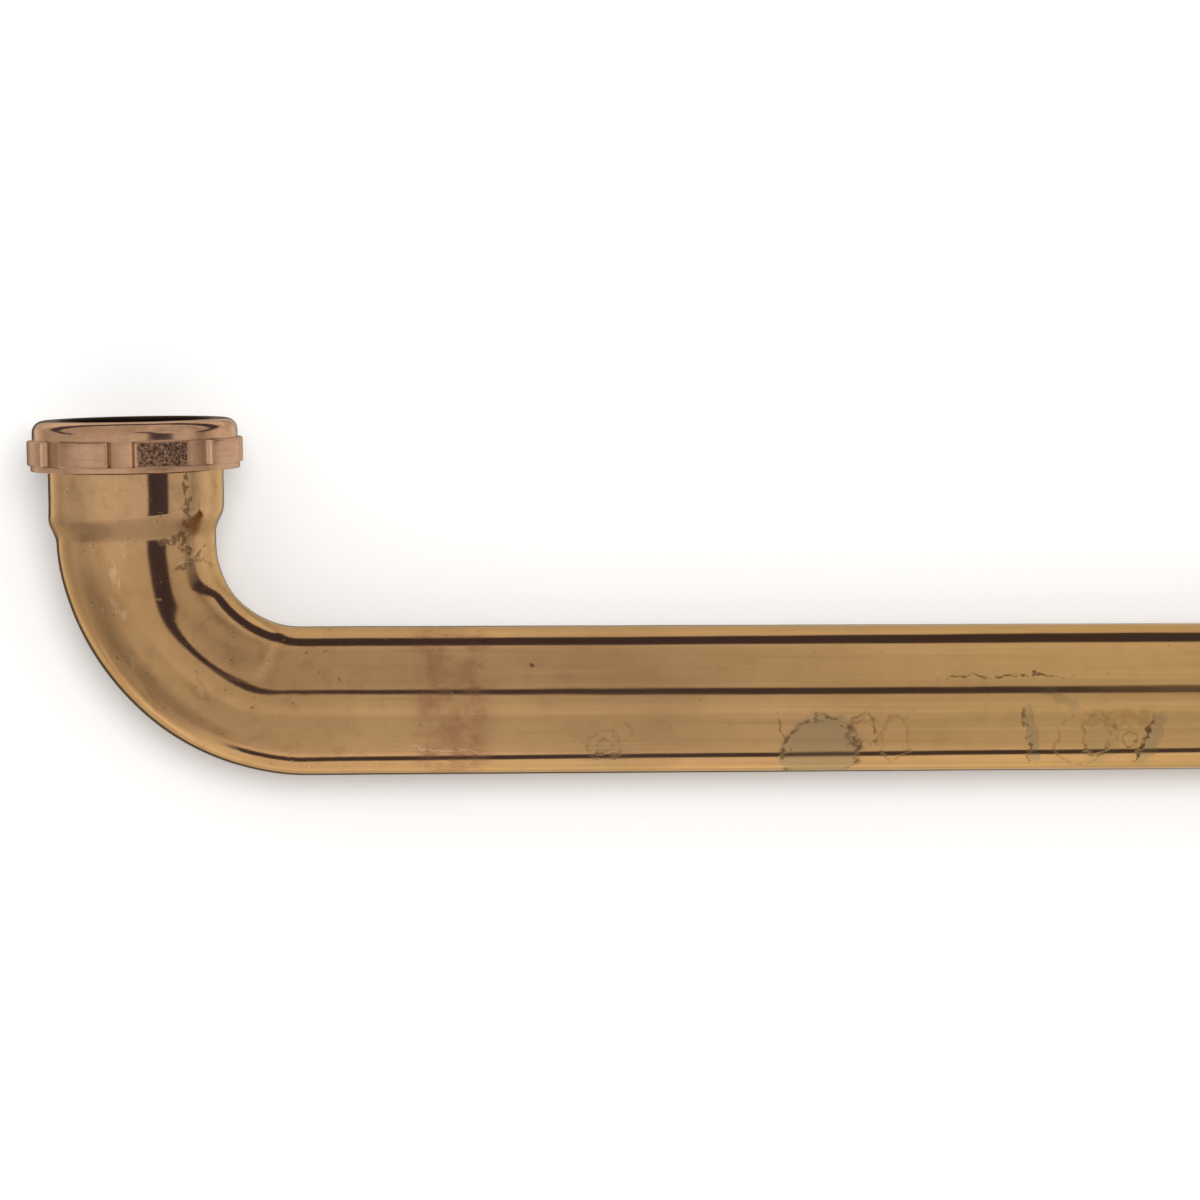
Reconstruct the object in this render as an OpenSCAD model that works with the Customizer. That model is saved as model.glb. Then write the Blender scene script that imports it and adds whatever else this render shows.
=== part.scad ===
// Waste arm: a bent brass tube with a plain outlet end and an expanded socket,
// closed by a lugged slip nut over a rubber washer.
// The arm lies at rest on Z = 0. Its straight run is parallel to X, and the
// inlet leg points along Y, tipped up until a lug of the nut touches the floor.

/* [Tube] */
// Outside diameter of the tube, and of the pipe that enters the inlet
tube_d = 38.1; // [31.75:0.05:50.8]
// Wall of the tube
tube_wall = 1.14; // [0.6:0.02:2]
// Length from the inlet's axis to the outlet's end, along the straight run
reach = 381; // [150:1:900]
// Radius of the bend, along the tube's centre line
bend_r = 42.8; // [32:0.1:80]
// Radius that the tube loses where it is drawn round the bend
bend_draw = 0.05; // [0.02:0.01:0.3]
// Angle by which the run falls away from square with the inlet leg
arm_fall = 1.2; // [0:0.1:4]
// Chamfer on the outer edge of the outlet's end
outlet_chamfer = 0.3; // [0.1:0.05:0.5]

/* [Socket] */
// Gap on each side between the entering pipe and the socket's wall
socket_slack = 2.06; // [0.8:0.02:3]
// Height of the shoulder that widens the tube into the socket
shoulder_h = 6.6; // [4:0.1:12]
// Length of the socket from its shoulder to its open end
socket_h = 18.7; // [15:0.1:30]

/* [Washer] */
// Thickness of the rubber washer
washer_t = 3.2; // [1.5:0.1:4]
// Gap on each side between the entering pipe and the washer's hole
washer_fit = 0.15; // [0.05:0.01:0.5]
// Gap between the washer's rim and the nut's bore
washer_side_gap = 0.2; // [0.05:0.05:0.5]
// Chamfer on the washer's edges
washer_chamfer = 0.35; // [0.1:0.05:0.6]
// Gap at each face of the washer, to the socket's end and to the nut's flange
seat_gap = 0.05; // [0.02:0.01:0.2]

/* [Slip nut] */
// Height of the nut from its lower lip to its flange
nut_h = 12.7; // [12:0.1:16]
// Gap between the nut's bore and the socket, both taken at mid-thread
thread_fit = 0.05; // [0.02:0.01:0.1]
// Wall of the nut round its bore
nut_wall = 3.75; // [2.5:0.05:6]
// Thickness of the flange over the washer
flange_t = 1.65; // [1:0.05:3]
// Gap on each side between the entering pipe and the flange's opening
opening_gap = 0.95; // [0.5:0.05:1.8]
// Radius of the rounded shoulder between the flange and the nut's side
nut_round = 3; // [1:0.1:4]
// Lead-in chamfer at the mouth of the nut's bore
lead_in = 0.8; // [0.3:0.1:1.2]

/* [Lugs] */
// Number of lugs round the nut
lug_count = 8; // [4:1:12]
// Angle of each recess between two lugs
recess_angle = 14; // [8:0.5:22]
// Direction of one lug's middle, turned from straight up towards the outlet
lug_phase = 15; // [0:0.5:45]
// Height of the lugs along the nut
band_h = 6.4; // [4:0.1:8]
// Height by which the lugs stand out from the nut's side
lug_stand = 1.35; // [0.6:0.05:3]
// Depth of the recesses below the nut's side
recess_depth = 0.45; // [0.1:0.05:1]
// Height by which a recess stops short of the lugs' top and bottom faces
recess_inset = 0.15; // [0.05:0.05:0.5]
// Chamfer on the lugs' outer corners
lug_chamfer = 0.5; // [0.2:0.05:0.8]
// Height of the plain lip below the lugs
lip_h = 1.45; // [0.8:0.05:3]
// Height by which the lip stands out from the nut's side
lip_stand = 0.5; // [0.1:0.05:1]

/* [Hidden] */
$fn = 96;

brass_color = [0.66, 0.52, 0.36];
nut_color = [0.68, 0.53, 0.42];
rubber_color = [0.09, 0.09, 0.09];

// Radii of the tube and of its socket
tube_r = tube_d / 2;
tube_bore_r = tube_r - tube_wall;
socket_bore_r = tube_r + socket_slack;
socket_r = socket_bore_r + tube_wall;

// Radii of the nut and of the washer
nut_bore_r = socket_r + thread_fit;
nut_r = nut_bore_r + nut_wall;
recess_r = nut_r - recess_depth;
lug_r = nut_r + lug_stand;
lip_r = nut_r + lip_stand;
opening_r = tube_r + opening_gap;
washer_hole_r = tube_r + washer_fit;
washer_r = nut_bore_r - washer_side_gap;

// Angles of the bend, and the length from the crossing of the two axes to
// each end of the bend
bend_angle = 90 - arm_fall;
bend_tangent = bend_r * tan(bend_angle / 2);

// Heights along the inlet leg, counted from the crossing of the two axes
shoulder_low = bend_tangent;
socket_low = shoulder_low + shoulder_h;
socket_end = socket_low + socket_h;
washer_low = socket_end + seat_gap;
washer_top = washer_low + washer_t;
flange_low = washer_top + seat_gap;
nut_top = flange_low + flange_t;
nut_low = nut_top - nut_h;
band_low = nut_low + lip_h;
band_top = band_low + band_h;
round_r = min(nut_round, nut_top - band_top - 0.2);

// Tilt of the inlet leg at rest: the tube lies on the floor, and the lower
// edge of the lug band comes down on it too
contact_y = band_low * cos(arm_fall);
rest_tilt = acos(tube_r / norm([contact_y, lug_r])) - atan2(contact_y, lug_r);

// Middle of the resting arm's outline on the floor
low_x = -band_top * sin(arm_fall) - lug_r * cos(arm_fall);
middle_x = (low_x + reach) / 2;
round_y = (nut_top - round_r) * cos(arm_fall) * cos(rest_tilt);
rim_y = (nut_r - round_r) * norm([sin(arm_fall) * cos(rest_tilt), sin(rest_tilt)]);
middle_y = (round_y + rim_y + round_r - tube_r) / 2;

// Length by which a cut runs past the face that it opens
cut = 1;

// Length by which each straight end of the tube runs into the bend
seam = 0.4;

// Share of a lug's chamfer by which its cutting line runs past the chamfer,
// and share of the radius by which a lug's cutting outline clears the nut
chamfer_past = 1.3;
outline_past = 1.5;

// Last entry of a list
function last(list) = list[len(list) - 1];

// Smooth rise from 0 to 1, level at both ends
function ease(t) = t * t * (3 - 2 * t);

// Points of an arc of radius r round centre c, from angle a0 to angle a1
function arc(c, r, a0, a1, steps = 12) =
    [for (i = [0:steps]) let (a = a0 + (a1 - a0) * i / steps) c + r * [cos(a), sin(a)]];

// Points along the shoulder, with its wall's face at radius low_r below
function shoulder_points(low_r, steps = 16) =
    [for (i = [0:steps]) [low_r + (socket_r - tube_r) * ease(i / steps), shoulder_low + shoulder_h * i / steps]];

// Turns and lifts the arm from its own plane into its place on the floor
module at_rest() {
    translate([-middle_x, -middle_y, tube_r])
        rotate([rest_tilt, 0, 0])
            children();
}

// Stands a shape made along Z on the inlet leg's axis
module on_inlet() {
    rotate([0, 0, arm_fall])
        rotate([-90, 0, 0])
            children();
}

// Straight run with its face at radius r, from the bend to x = end
module straight_run(r, end, chamfer = 0) {
    start = bend_tangent - seam;
    rotate([0, 90, 0])
        rotate_extrude()
            polygon([[0, start], [r, start], [r, end - chamfer], [r - chamfer, end], [0, end]]);
}

// Bend between the straight run and the inlet leg, drawn in from radius r
module bend(r) {
    translate([bend_tangent, bend_r, 0])
        rotate([0, 0, -90 - bend_angle])
            rotate_extrude(angle = bend_angle)
                translate([bend_r, 0])
                    circle(r = r - bend_draw);
}

// Inlet leg with its shoulder and socket, whose face starts at radius r
module inlet_leg(r, end) {
    start = shoulder_low - seam;
    side = shoulder_points(r);
    rotate_extrude()
        polygon(concat([[0, start], [r, start]], side, [[last(side)[0], end], [0, end]]));
}

// Outside of the tube
module tube_outside() {
    straight_run(tube_r, reach, outlet_chamfer);
    bend(tube_r);
    on_inlet() inlet_leg(tube_r, socket_end);
}

// Waterway inside the tube, which runs out past both of its ends
module tube_waterway() {
    straight_run(tube_bore_r, reach + cut);
    bend(tube_bore_r);
    on_inlet() inlet_leg(tube_bore_r, socket_end + cut);
}

// Brass tube: run, bend and socket are one formed piece
module waste_tube() {
    color(brass_color)
        at_rest()
            difference() {
                tube_outside();
                tube_waterway();
            }
}

// Rubber washer between the socket's end and the nut's flange
module slip_washer() {
    c = washer_chamfer;
    color(rubber_color)
        at_rest()
            on_inlet()
                rotate_extrude()
                    polygon([
                        [washer_hole_r, washer_low],
                        [washer_r - c, washer_low],
                        [washer_r, washer_low + c],
                        [washer_r, washer_top - c],
                        [washer_r - c, washer_top],
                        [washer_hole_r, washer_top]
                    ]);
}

// Nut without its lugs: lip, threaded skirt, rounded shoulder and flange
module nut_shell() {
    top_round = arc([nut_r - round_r, nut_top - round_r], round_r, 0, 90);
    rotate_extrude()
        polygon(concat(
            [
                [nut_bore_r + lead_in, nut_low],
                [lip_r, nut_low],
                [lip_r, band_low + recess_inset],
                [recess_r, band_low + recess_inset],
                [recess_r, band_top - recess_inset],
                [nut_r, band_top - recess_inset]
            ],
            top_round,
            [
                [opening_r, nut_top],
                [opening_r, flange_low],
                [nut_bore_r, flange_low],
                [nut_bore_r, nut_low + lead_in]
            ]
        ));
}

// Point at a distance r from the axis, in the direction angle
function polar(r, angle) = r * [cos(angle), sin(angle)];

// Corner points of one side of a lug: its chamfer's start, a point just past
// its chamfer's end, and a point well outside the nut
function lug_side(angle) =
    let (
        start = polar(lug_r - lug_chamfer, angle),
        end = polar(lug_r, angle - sign(angle) * asin(lug_chamfer / lug_r)),
        past = start + chamfer_past * (end - start)
    )
    [start, past, outline_past * past];

// Outline of one lug seen along the nut's axis, with chamfered corners
module lug_outline(angle) {
    near = lug_side(-angle / 2);
    far = lug_side(angle / 2);
    difference() {
        intersection() {
            circle(r = lug_r);
            polygon([[0, 0], near[0], near[1], near[2], far[2], far[1], far[0]]);
        }
        circle(r = (nut_bore_r + recess_r) / 2);
    }
}

// Ring of lugs that a hand or a wrench grips
module lugs() {
    pitch_angle = 360 / lug_count;
    for (i = [0:lug_count - 1])
        rotate(i * pitch_angle)
            translate([0, 0, band_low])
                linear_extrude(height = band_h)
                    lug_outline(pitch_angle - recess_angle);
}

// Cast brass slip nut
module slip_nut() {
    color(nut_color)
        at_rest()
            on_inlet()
                rotate(lug_phase - 90) {
                    nut_shell();
                    lugs();
                }
}

waste_tube();
slip_washer();
slip_nut();
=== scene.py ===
# %% [markdown]
# # A brass waste arm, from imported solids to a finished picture
#
# The object is a length of tubular drain: thin rough brass tube, bent through
# a right angle, widened at its inlet into a socket, and closed there by a cast
# slip nut over a rubber washer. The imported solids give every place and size.
# This file adds what solids leave out: the worn surface, the cut thread, the
# soft edges of a casting and the light of the studio table.

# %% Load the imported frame
import math

import bpy
from mathutils import Matrix, Vector


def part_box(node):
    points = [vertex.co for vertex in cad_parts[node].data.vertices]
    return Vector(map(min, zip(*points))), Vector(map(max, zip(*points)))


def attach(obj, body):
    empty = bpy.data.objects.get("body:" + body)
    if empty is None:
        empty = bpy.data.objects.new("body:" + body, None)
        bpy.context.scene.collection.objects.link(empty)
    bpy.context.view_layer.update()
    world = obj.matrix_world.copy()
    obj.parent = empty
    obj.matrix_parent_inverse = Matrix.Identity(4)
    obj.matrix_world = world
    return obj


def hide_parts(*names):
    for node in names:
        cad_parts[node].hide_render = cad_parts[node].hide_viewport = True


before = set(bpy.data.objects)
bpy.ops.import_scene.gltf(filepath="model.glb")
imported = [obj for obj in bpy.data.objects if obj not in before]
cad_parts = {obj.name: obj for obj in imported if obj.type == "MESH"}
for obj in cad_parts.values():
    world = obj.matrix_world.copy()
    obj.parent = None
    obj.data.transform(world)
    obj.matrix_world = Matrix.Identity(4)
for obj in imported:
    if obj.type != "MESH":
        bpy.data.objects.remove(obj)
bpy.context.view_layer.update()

# %% [markdown]
# ## Sizes
#
# All pieces are drawn in the arm's own plane, where the run lies along X, the
# inlet leg points up Y, and the two axes cross at the origin. These are the
# sizes of the solids, in millimetres, with the few more that only looks need.

# %% Named sizes in millimetres
TUBE_R = 19.05
WALL = 1.14
REACH = 381.0
BEND_R = 42.8
ARM_FALL = 1.2
SHOULDER_H = 6.6
SOCKET_H = 18.7
SOCKET_R = 22.25
NUT_BORE_R = 22.3
NUT_R = 26.05
NUT_H = 12.7
LIP_H = 1.45
LIP_R = 26.55
BAND_H = 6.4
LUG_R = 27.4
RECESS_R = 25.6
LUG_COUNT = 8
LUG_HALF = 15.5
LUG_PHASE = 15.0
OPENING_R = 20.0
FLANGE_T = 1.65
DOME_ROUND = 3.0
WASHER_T = 3.2
WASHER_R = 22.1
WASHER_HOLE_R = 19.2
SEAT_GAP = 0.05
THREAD_PITCH = 25.4 / 11.5
THREAD_DEPTH = 1.1
THREAD_GAP = 0.12

BEND_ANGLE = math.radians(90 - ARM_FALL)
TANGENT = BEND_R * math.tan(BEND_ANGLE / 2)
RUN_LENGTH = REACH - TANGENT
LEG_START = RUN_LENGTH + BEND_R * BEND_ANGLE
SOCKET_END = TANGENT + SHOULDER_H + SOCKET_H
WASHER_LOW = SOCKET_END + SEAT_GAP
FLANGE_LOW = WASHER_LOW + WASHER_T + SEAT_GAP
NUT_TOP = FLANGE_LOW + FLANGE_T
NUT_LOW = NUT_TOP - NUT_H
BAND_LOW = NUT_LOW + LIP_H
BAND_TOP = BAND_LOW + BAND_H
print("run %.1f mm, leg starts at %.1f mm along the path" % (RUN_LENGTH, LEG_START))

# %% [markdown]
# ## How the arm lies
#
# A bent tube doesn't stand up by itself. It lies with its run on the floor and
# tips until a lug of the nut, which is wider than the tube, touches too. One
# matrix takes points from the arm's plane to that place, and from millimetres
# to metres.

# %% The matrix from the arm's plane to the floor
contact_y = BAND_LOW * math.cos(math.radians(ARM_FALL))
REST_TILT = math.acos(TUBE_R / math.hypot(contact_y, LUG_R)) - math.atan2(contact_y, LUG_R)
run_low, run_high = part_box("waste_tube")
REST_PLACE = Vector((run_high.x - REACH / 1000, run_low.y + TUBE_R / 1000, TUBE_R / 1000))
ARM = Matrix.Translation(REST_PLACE) @ Matrix.Rotation(REST_TILT, 4, "X") @ Matrix.Scale(0.001, 4)
print("tilt %.2f degrees, place %s" % (math.degrees(REST_TILT), tuple(round(c, 5) for c in REST_PLACE)))

# %% [markdown]
# ## The camera comes early
#
# The photograph was taken from above, with a long lens, a little past the
# inlet's end. Its outline gave the camera's distance, turn and lens, so the
# same numbers are used here.

# %% Camera
CAMERA_DISTANCE = 1150.0
CAMERA_ASIDE = (-117.15, -25.96)
CAMERA_TURN = (5.676, 4.228, -0.236)
FRAME_PIXELS = 1200
FOCAL_PIXELS = 4502.39

camera_data = bpy.data.cameras.new("camera")
camera_data.sensor_width = 36
camera_data.lens = FOCAL_PIXELS / FRAME_PIXELS * camera_data.sensor_width
camera = bpy.data.objects.new("camera", camera_data)
bpy.context.scene.collection.objects.link(camera)
yaw, pitch, roll = (math.radians(a) for a in CAMERA_TURN)
turned = Matrix.Rotation(roll, 4, "Z") @ Matrix.Rotation(pitch, 4, "X") @ Matrix.Rotation(yaw, 4, "Y")
seen = Matrix.Translation((*CAMERA_ASIDE, -CAMERA_DISTANCE)) @ turned
placed = ARM @ seen.inverted()
camera.matrix_world = Matrix.LocRotScale(placed.to_translation(), placed.to_quaternion(), None)
bpy.context.scene.camera = camera
bpy.context.scene.view_settings.view_transform = "Standard"
print("camera at", tuple(round(c, 3) for c in camera.location), "lens %.1f mm" % camera_data.lens)

# %% [markdown]
# ## Two helpers for node trees
#
# Every tree here, for shapes and for finishes, is built with one function that
# adds a node, sets its settings and feeds its inputs. Colours are written as
# the hex values that a picture editor shows, and turned to linear light.

# %% Helpers
MATH = "ShaderNodeMath"
VECTOR = "ShaderNodeVectorMath"
RANGE = "ShaderNodeMapRange"


def add(tree, kind, *values, out=0, named=None, **settings):
    """Adds a node with its settings, feeds its inputs in order or by name, and returns one output."""
    node = tree.nodes.new(kind)
    for name, value in settings.items():
        setattr(node, name, value)
    for key, value in [*enumerate(values), *(named or {}).items()]:
        if isinstance(value, bpy.types.NodeSocket):
            tree.links.new(value, node.inputs[key])
        elif value is not None:
            node.inputs[key].default_value = value
    return node.outputs[out] if len(node.outputs) else node


def band(tree, value, low, high, edge):
    """1 where the value lies between low and high, falling softly to 0 over twice the edge."""
    over = add(tree, RANGE, value, low - edge, low + edge, interpolation_type="SMOOTHSTEP")
    under = add(tree, RANGE, value, high + edge, high - edge, interpolation_type="SMOOTHSTEP")
    return add(tree, MATH, over, under, operation="MULTIPLY")


def linear(hex_code):
    """Linear colour of an sRGB hex code."""
    parts = [int(hex_code[i:i + 2], 16) / 255 for i in (1, 3, 5)]
    return (*[c / 12.92 if c <= 0.04045 else ((c + 0.055) / 1.055) ** 2.4 for c in parts], 1.0)


def ease(t):
    """Smooth rise from 0 to 1, level at both ends."""
    t = min(max(t, 0.0), 1.0)
    return t * t * (3 - 2 * t)


# %% [markdown]
# ## One rule for three pieces
#
# Tube, washer and nut are all rings strung along the same path: a straight run,
# an arc and a straight leg. So one Geometry Nodes tree makes all three. Its
# object is a closed outline, whose points say how far along the path a ring
# lies and how wide it is. A second outline lists the directions round the ring
# and how far a lug stands out there. The tree lays a grid over the two lists,
# bends it along the path and closes its seams.
#
# Some points carry more: how much of the thread, of the lugs or of the dents
# they take, and how far a ring is shifted, squeezed, slanted or leant over.
# The tree also keeps each point's place on the tube before bending, so that
# the finishes can follow the metal round the bend.

# %% The tree that strings rings along the arm
MARKS = ("lug", "thread", "dent", "shift", "squeeze", "slant", "lean")


def ring_tree():
    tree = bpy.data.node_groups.new("rings_along_arm", "GeometryNodeTree")
    face = tree.interface
    face.new_socket("Outline", in_out="INPUT", socket_type="NodeSocketGeometry")
    face.new_socket("Round", in_out="INPUT", socket_type="NodeSocketObject")
    for name in ("Reach", "Run length", "Bend radius", "Bend angle", "Thread pitch",
                 "Thread height", "Dent depth", "Dent size", "Dent seed"):
        face.new_socket(name, in_out="INPUT", socket_type="NodeSocketFloat")
    face.new_socket("Rest turn", in_out="INPUT", socket_type="NodeSocketVector")
    face.new_socket("Rest place", in_out="INPUT", socket_type="NodeSocketVector")
    face.new_socket("Finish", in_out="INPUT", socket_type="NodeSocketMaterial")
    face.new_socket("Piece", in_out="OUTPUT", socket_type="NodeSocketGeometry")
    given = tree.nodes.new("NodeGroupInput").outputs

    # A grid with one row for each ring, and the first ring again at its end
    columns = add(tree, "GeometryNodeObjectInfo", given["Round"], out="Geometry")
    ring_count = add(tree, "GeometryNodeAttributeDomainSize", given["Outline"])
    column_count = add(tree, "GeometryNodeAttributeDomainSize", columns)
    row_count = add(tree, MATH, ring_count, 1.0, operation="ADD")
    grid = add(tree, "GeometryNodeMeshGrid", named={"Vertices X": row_count, "Vertices Y": column_count})

    # Each grid point reads its ring and its direction from the two lists
    index = add(tree, "GeometryNodeInputIndex")
    steady = add(tree, MATH, index, 0.5, operation="ADD")
    row = add(tree, MATH, add(tree, MATH, steady, column_count, operation="DIVIDE"), operation="FLOOR")
    column = add(tree, MATH, index, add(tree, MATH, row, column_count, operation="MULTIPLY"), operation="SUBTRACT")
    ring = add(tree, MATH, row, ring_count, operation="FLOORED_MODULO")
    place = add(tree, "GeometryNodeInputPosition")
    outline = add(tree, "GeometryNodeSampleIndex", given["Outline"], place, ring, data_type="FLOAT_VECTOR")
    around = add(tree, "GeometryNodeSampleIndex", columns, place, column, data_type="FLOAT_VECTOR")
    ring_along, ring_radius = add(tree, "ShaderNodeSeparateXYZ", outline).node.outputs[:2]
    angle, lug_height = add(tree, "ShaderNodeSeparateXYZ", around).node.outputs[:2]
    mark = {}
    for name in MARKS:
        read = add(tree, "GeometryNodeInputNamedAttribute", name, data_type="FLOAT")
        mark[name] = add(tree, "GeometryNodeSampleIndex", given["Outline"], read, ring)

    # The ring's own shape: thread, lugs and lean
    sine = add(tree, MATH, angle, operation="SINE")
    cosine = add(tree, MATH, angle, operation="COSINE")
    along = add(tree, MATH, mark["slant"], sine, ring_along, operation="MULTIPLY_ADD")
    turns = add(tree, MATH, add(tree, MATH, along, 2 * math.pi, operation="MULTIPLY"), given["Thread pitch"],
                operation="DIVIDE")
    wave = add(tree, MATH, add(tree, MATH, turns, angle, operation="SUBTRACT"), operation="COSINE")
    thread = add(tree, MATH, add(tree, MATH, wave, given["Thread height"], operation="MULTIPLY"), mark["thread"],
                 operation="MULTIPLY")
    plain_radius = add(tree, MATH, ring_radius, thread, operation="ADD")
    tipped = add(tree, MATH, sine, add(tree, MATH, cosine, 2.0, operation="POWER"), operation="MULTIPLY")
    plain_radius = add(tree, MATH, mark["lean"], tipped, plain_radius, operation="MULTIPLY_ADD")
    stand = add(tree, MATH, mark["lug"], lug_height, operation="MULTIPLY")
    radius = add(tree, MATH, plain_radius, stand, operation="ADD")

    # The path: how much of it lies in the run, in the bend and in the leg
    in_run = add(tree, MATH, along, given["Run length"], operation="MINIMUM")
    past_run = add(tree, MATH, along, given["Run length"], operation="SUBTRACT")
    swept = add(tree, MATH, past_run, given["Bend radius"], operation="DIVIDE")
    bent = add(tree, MATH, add(tree, MATH, swept, 0.0, operation="MAXIMUM"), given["Bend angle"], operation="MINIMUM")
    bend_length = add(tree, MATH, given["Bend radius"], given["Bend angle"], operation="MULTIPLY")
    in_leg = add(tree, MATH, add(tree, MATH, past_run, bend_length, operation="SUBTRACT"), 0.0, operation="MAXIMUM")
    sin_bent = add(tree, MATH, bent, operation="SINE")
    cos_bent = add(tree, MATH, bent, operation="COSINE")
    one_less = add(tree, MATH, 1.0, cos_bent, operation="SUBTRACT")
    arc_x = add(tree, MATH, given["Bend radius"], sin_bent, operation="MULTIPLY")
    arc_x = add(tree, MATH, add(tree, MATH, given["Reach"], in_run, operation="SUBTRACT"), arc_x,
                operation="SUBTRACT")
    arc_y = add(tree, MATH, given["Bend radius"], one_less, operation="MULTIPLY")
    inward = add(tree, "ShaderNodeCombineXYZ", sin_bent, cos_bent, 0.0)
    backward = add(tree, MATH, cos_bent, -1.0, operation="MULTIPLY")
    forward = add(tree, "ShaderNodeCombineXYZ", backward, sin_bent, 0.0)

    # The ring's points round the path
    across = add(tree, MATH, radius, sine, operation="MULTIPLY")
    across = add(tree, MATH, across, add(tree, MATH, mark["squeeze"], 1.0, operation="ADD"), mark["shift"],
                 operation="MULTIPLY_ADD")
    height = add(tree, MATH, radius, cosine, operation="MULTIPLY")
    centre = add(tree, "ShaderNodeCombineXYZ", arc_x, arc_y, height)
    leg_part = add(tree, VECTOR, forward, named={"Scale": in_leg}, operation="SCALE")
    across_part = add(tree, VECTOR, inward, named={"Scale": across}, operation="SCALE")
    smooth = add(tree, VECTOR, add(tree, VECTOR, centre, leg_part, operation="ADD"), across_part, operation="ADD")

    # Shallow dents, felt along the wall's own direction
    noise = add(tree, "ShaderNodeTexNoise", smooth, noise_dimensions="4D", named={
        "W": given["Dent seed"], "Detail": 1.5, "Scale": add(tree, MATH, 1.0, given["Dent size"], operation="DIVIDE")})
    dent = add(tree, MATH, add(tree, MATH, noise, 0.5, operation="SUBTRACT"), given["Dent depth"],
               operation="MULTIPLY")
    dent = add(tree, MATH, dent, mark["dent"], operation="MULTIPLY")
    outward = add(tree, VECTOR, inward, named={"Scale": sine}, operation="SCALE")
    outward = add(tree, VECTOR, outward, add(tree, "ShaderNodeCombineXYZ", 0.0, 0.0, cosine), operation="ADD")
    dented = add(tree, VECTOR, smooth, add(tree, VECTOR, outward, named={"Scale": dent}, operation="SCALE"),
                 operation="ADD")

    # What the finishes read: the place on the unbent tube, and the lug's stand
    plain_across = add(tree, MATH, plain_radius, sine, operation="MULTIPLY")
    plain_height = add(tree, MATH, plain_radius, cosine, operation="MULTIPLY")
    unbent = add(tree, "ShaderNodeCombineXYZ", along, plain_across, plain_height)
    piece = add(tree, "GeometryNodeStoreNamedAttribute", grid, data_type="FLOAT_VECTOR",
                named={"Name": "unbent", "Value": unbent})
    piece = add(tree, "GeometryNodeStoreNamedAttribute", piece, named={"Name": "stand", "Value": stand})

    piece = add(tree, "GeometryNodeSetPosition", piece, named={"Position": dented})
    piece = add(tree, "GeometryNodeMergeByDistance", piece, named={"Distance": 2e-6})
    # The grid's own order leaves its faces looking into the wall, so they are turned out
    piece = add(tree, "GeometryNodeFlipFaces", piece)
    piece = add(tree, "GeometryNodeTransform", piece, named={
        "Translation": given["Rest place"], "Rotation": given["Rest turn"]})
    piece = add(tree, "GeometryNodeSetShadeSmooth", piece)
    piece = add(tree, "GeometryNodeRealizeInstances", piece)
    piece = add(tree, "GeometryNodeSetMaterial", piece, named={"Material": given["Finish"]})
    add(tree, "NodeGroupOutput", piece)
    return tree


RINGS = ring_tree()
print("ring tree has", len(RINGS.nodes), "nodes")


# %% [markdown]
# ### From two outlines to one mesh
#
# An outline is written in Python as rows of numbers, in millimetres, because
# that is where arcs and eased curves are easiest to read. The tree is run once
# on it, the result becomes a plain mesh, and the modifier goes.

# %% Outline objects and the finished mesh
def outline_object(name, rows):
    """A chain of points (along, radius, marks) as a mesh, in metres."""
    mesh = bpy.data.meshes.new(name)
    points = [(row[0] / 1000, row[1] / 1000, 0.0) for row in rows]
    mesh.from_pydata(points, [(i, i + 1) for i in range(len(points) - 1)], [])
    for mark in MARKS:
        unit = 0.001 if mark in ("shift", "slant", "lean") else 1.0
        layer = mesh.attributes.new(mark, "FLOAT", "POINT")
        layer.data.foreach_set("value", [row[2].get(mark, 0.0) * unit for row in rows])
    thing = bpy.data.objects.new(name, mesh)
    bpy.context.scene.collection.objects.link(thing)
    return thing


def round_object(name, columns):
    """Directions round a ring in degrees, with each one's lug height in millimetres."""
    mesh = bpy.data.meshes.new(name)
    points = [(math.radians(angle), lug / 1000, 0.0) for angle, lug in columns]
    mesh.from_pydata(points, [(i, i + 1) for i in range(len(points) - 1)], [])
    thing = bpy.data.objects.new(name, mesh)
    bpy.context.scene.collection.objects.link(thing)
    return thing


def strung(name, rows, columns, finish, **sizes):
    """Runs the tree on an outline and leaves one plain mesh object at the origin."""
    source = outline_object(name + "_outline", rows)
    ring = round_object(name + "_round", columns)
    modifier = source.modifiers.new("rings", "NODES")
    modifier.node_group = RINGS
    values = {
        "Round": ring, "Finish": finish, "Reach": REACH / 1000, "Run length": RUN_LENGTH / 1000,
        "Bend radius": BEND_R / 1000, "Bend angle": BEND_ANGLE, "Thread pitch": THREAD_PITCH / 1000,
        "Thread height": THREAD_DEPTH / 2000, "Dent depth": 0.0, "Dent size": 0.02, "Dent seed": 1.0,
        "Rest turn": (REST_TILT, 0.0, 0.0), "Rest place": tuple(REST_PLACE),
    }
    values.update(sizes)
    for item in RINGS.interface.items_tree:
        if item.in_out == "INPUT" and item.name in values:
            modifier[item.identifier] = values[item.name]
    bpy.context.view_layer.update()
    shaped = source.evaluated_get(bpy.context.evaluated_depsgraph_get())
    mesh = bpy.data.meshes.new_from_object(shaped)
    mesh.name = name
    piece = bpy.data.objects.new(name, mesh)
    bpy.context.scene.collection.objects.link(piece)
    source.modifiers.clear()
    for used in (source, ring):
        bpy.data.objects.remove(used)
    print(name, len(mesh.vertices), "points,", len(mesh.polygons), "faces")
    return piece


def corner(centre, radius, start, end, steps=5, **marks):
    """Rows along a rounded corner, from angle start to angle end in degrees."""
    rows = []
    for i in range(steps + 1):
        a = math.radians(start + (end - start) * i / steps)
        rows.append((centre[0] + radius * math.cos(a), centre[1] + radius * math.sin(a), dict(marks)))
    return rows


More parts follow.
